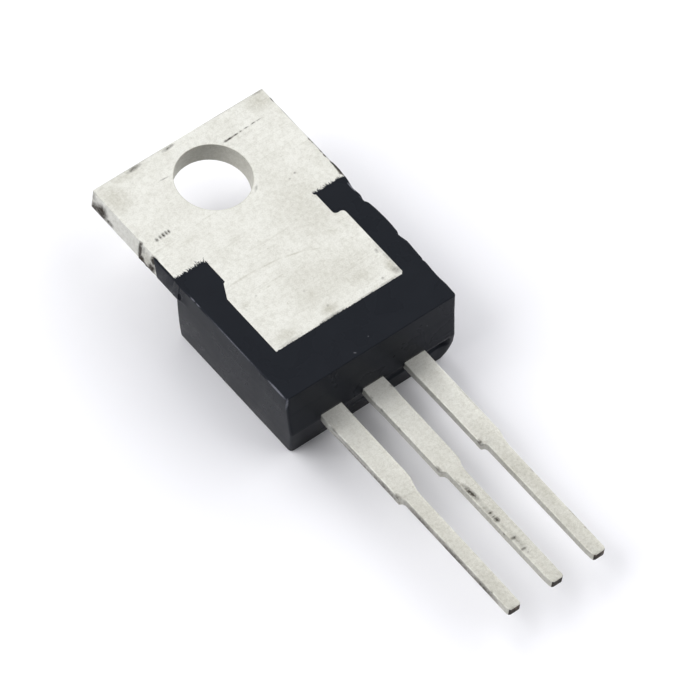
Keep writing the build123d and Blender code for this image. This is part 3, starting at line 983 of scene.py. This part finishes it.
flashSize = {
    # rows of flakes: start, end, spacing, reach, width, seed; the flakes stand out towards +y
    "rows": [
        ((-5.12, 8.78), (-3.5, 8.78), 0.025, 0.19, 0.06, 3),
        ((-5.12, 8.8), (-3.5, 8.8), 0.05, 0.3, 0.026, 7),
        ((-3.8, 8.79), (-3.44, 8.79), 0.025, 0.4, 0.035, 9),
        ((-3.47, 8.77), (-3.31, 8.6), 0.03, 0.22, 0.04, 11),
        ((3.31, 8.79), (5.1, 8.79), 0.025, 0.2, 0.06, 5),
        ((3.31, 8.8), (5.1, 8.8), 0.06, 0.28, 0.026, 8),
        ((3.28, 8.8), (3.65, 8.8), 0.03, 0.34, 0.035, 10),
        ((-3.85, 2.82), (3.7, 2.82), 0.06, 0.065, 0.05, 12),
        ((-1.2, 2.82), (0.3, 2.82), 0.05, 0.1, 0.05, 14),
    ],
    "thickness": 0.012,
    "raggedness": 0.06,  # how far apart the bends of its edges are, and how far they go
}


def flashTree():
    # thin pointed flakes of epoxy set close together along a line, each its own length, width and turn
    tree, add, given = newTree("mouldFlash", Float=("Spacing", "Reach", "Width", "Thickness"), Int=("Seed",),
                               Material=("Finish",))
    line = add("GeometryNodeMeshToCurve", {"Mesh": given["Geometry"]})
    spots = add("GeometryNodeCurveToPoints", {"Curve": line, "Length": given["Spacing"]}, mode="LENGTH")
    flake = add("GeometryNodeMeshCone", {
        "Vertices": 6, "Side Segments": 3, "Fill Segments": 1, "Radius Top": 0.12, "Radius Bottom": 1.0,
        "Depth": 1.0,
    })
    laid = add("GeometryNodeTransform", {"Geometry": flake, "Rotation": (math.radians(-90), 0, 0)})
    share = add("FunctionNodeRandomValue", {"Min": 0.3, "Max": 1.0, "Seed": given["Seed"]})
    cubed = add("Math", {0: share, 1: 2.2}, operation="POWER")
    length = add("Math", {0: cubed, 1: given["Reach"]}, operation="MULTIPLY")
    second = add("Math", {0: given["Seed"], 1: 100.0})
    spread = add("FunctionNodeRandomValue", {"Min": 0.4, "Max": 1.0, "Seed": second})
    width = add("Math", {0: spread, 1: given["Width"]}, operation="MULTIPLY")
    size = add("CombineXYZ", {"X": width, "Y": length, "Z": given["Thickness"]})
    third = add("Math", {0: given["Seed"], 1: 200.0})
    turn = add("FunctionNodeRandomValue", {"Min": -0.7, "Max": 0.7, "Seed": third})
    turned = add("CombineXYZ", {"Z": turn})
    row = add("GeometryNodeInstanceOnPoints", {
        "Points": spots, "Instance": laid, "Rotation": turned, "Scale": size,
    })
    real = add("GeometryNodeRealizeInstances", {"Geometry": row})
    ragged = flashSize["raggedness"] * mm
    bend = add("TexNoise", {"Scale": 1 / ragged, "Detail": 1.0})
    centred = add("VectorMath", {0: bend.outputs["Color"], 1: (0.5, 0.5, 0.5)}, operation="SUBTRACT")
    nudge = add("VectorMath", {0: centred, 1: (ragged, ragged, 0.0)}, operation="MULTIPLY")
    bent = add("GeometryNodeSetPosition", {"Geometry": real, "Offset": nudge})
    finished = add("GeometryNodeSetMaterial", {"Geometry": bent, "Material": given["Finish"]})
    add("NodeGroupOutput", {"Geometry": finished})
    return tree


flashMaker = flashTree()
flakes = bmesh.new()
for start, end, spacing, reach, width, seed in flashSize["rows"]:
    line = rail("flashRow", [(*start, backLevel), (*end, backLevel)])
    grow(line, flashMaker, {
        "Spacing": spacing * mm, "Reach": reach * mm, "Width": width * mm,
        "Thickness": flashSize["thickness"] * mm, "Seed": seed, "Finish": epoxy,
    })
    flakes.from_mesh(line.data)
    bpy.data.objects.remove(line)
mouldFlash = toObject("mouldFlash", flakes, epoxy)
print("mould flash made:", len(mouldFlash.data.polygons), "faces")

for piece in (drainLead, controlLead, mouldedBody, mouldFlash):
    shade(piece, 35)
shade(heatSinkFrame, 14)  # flat faces beside the hole's small rim stay flat
print("pieces shaded")

for piece, node, slotName in (
    (drainLead, "drain_lead", "tin_plating"), (controlLead, "control_lead", "tin_plating"),
    (heatSinkFrame, "heat_sink_frame", "tin_plating"), (mouldedBody, "moulded_body", "epoxy_moulding"),
):
    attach(piece, "root")
    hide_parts(node)
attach(mouldFlash, "root")

stageLook = {
    "paper": "#EDEDF0",
    "floorSize": 1.6,  # m
    "domeColour": "#F1F2FF",
    "dome": 0.13,
    "target": (0, 0, 0.002),
    # softboxes: azimuth from +x towards +y and elevation in degrees, distance and side in m, power in W
    "softboxes": {
        "rightSoftbox": (30, 20, 0.8, 0.8, 4.1),
        "rearSoftbox": (105, 40, 0.8, 0.8, 5.1),
        "leftSoftbox": (160, 40, 0.8, 0.5, 3.65),
        "frontSoftbox": (330, 45, 0.8, 0.8, 3.4),
    },
}


def studioPaper(add, place):
    # smooth white studio paper: matt, with a trace of blue brightener
    return add("BsdfPrincipled", {
        "Base Color": linear(stageLook["paper"]), "Roughness": 0.9, "Specular IOR Level": 0.1,
    })


floorMesh = bmesh.new()
bmesh.ops.create_grid(floorMesh, x_segments=1, y_segments=1, size=stageLook["floorSize"] / 2)
floor = toObject("paperFloor", floorMesh, newMaterial("whitePaper", studioPaper))

world = bpy.data.worlds.new("studio")
bpy.context.scene.world = world
world.use_nodes = True
dome = world.node_tree.nodes["Background"].inputs
dome["Color"].default_value = linear(stageLook["domeColour"])
dome["Strength"].default_value = stageLook["dome"]

target = Vector(stageLook["target"])
for name, (azimuth, elevation, distance, size, power) in stageLook["softboxes"].items():
    a, e = math.radians(azimuth), math.radians(elevation)
    lamp = bpy.data.lights.new(name, "AREA")
    lamp.shape = "SQUARE"
    lamp.size = size
    lamp.energy = power
    light = newObject(name, lamp)
    way = Vector((math.cos(a) * math.cos(e), math.sin(a) * math.cos(e), math.sin(e)))
    light.location = target + way * distance
    light.rotation_mode = "QUATERNION"
    light.rotation_quaternion = (target - light.location).to_track_quat("-Z", "Y")

view = {
    "turn": -46.58,
    "height": 55.11,
    "roll": 8.98,
    "distance": 396.0,
    "aim": (0.046, 1.083, 2.446),  # mm in the shared frame
    "lens": 433.2,
    "sensor": 36,
}
turn, height, roll = (math.radians(view[k]) for k in ("turn", "height", "roll"))
back = Vector((math.sin(turn) * math.cos(height), -math.cos(turn) * math.cos(height), math.sin(height)))
right = (-back).cross(Vector((0, 0, 1))).normalized()
up = right.cross(-back)
cameraData = bpy.data.cameras.new("camera")
cameraData.lens = view["lens"]
cameraData.sensor_width = view["sensor"]
cameraData.clip_start = 0.01
cameraData.clip_end = 10
camera = newObject("camera", cameraData)
rolledRight = right * math.cos(roll) + up * math.sin(roll)
rolledUp = up * math.cos(roll) - right * math.sin(roll)
spin = Matrix((rolledRight, rolledUp, back)).transposed().to_4x4()
camera.matrix_world = Matrix.Translation(Vector(view["aim"]) * mm + back * view["distance"] * mm) @ spin
bpy.context.scene.camera = camera
bpy.context.scene.view_settings.view_transform = "Standard"
print("setting made")
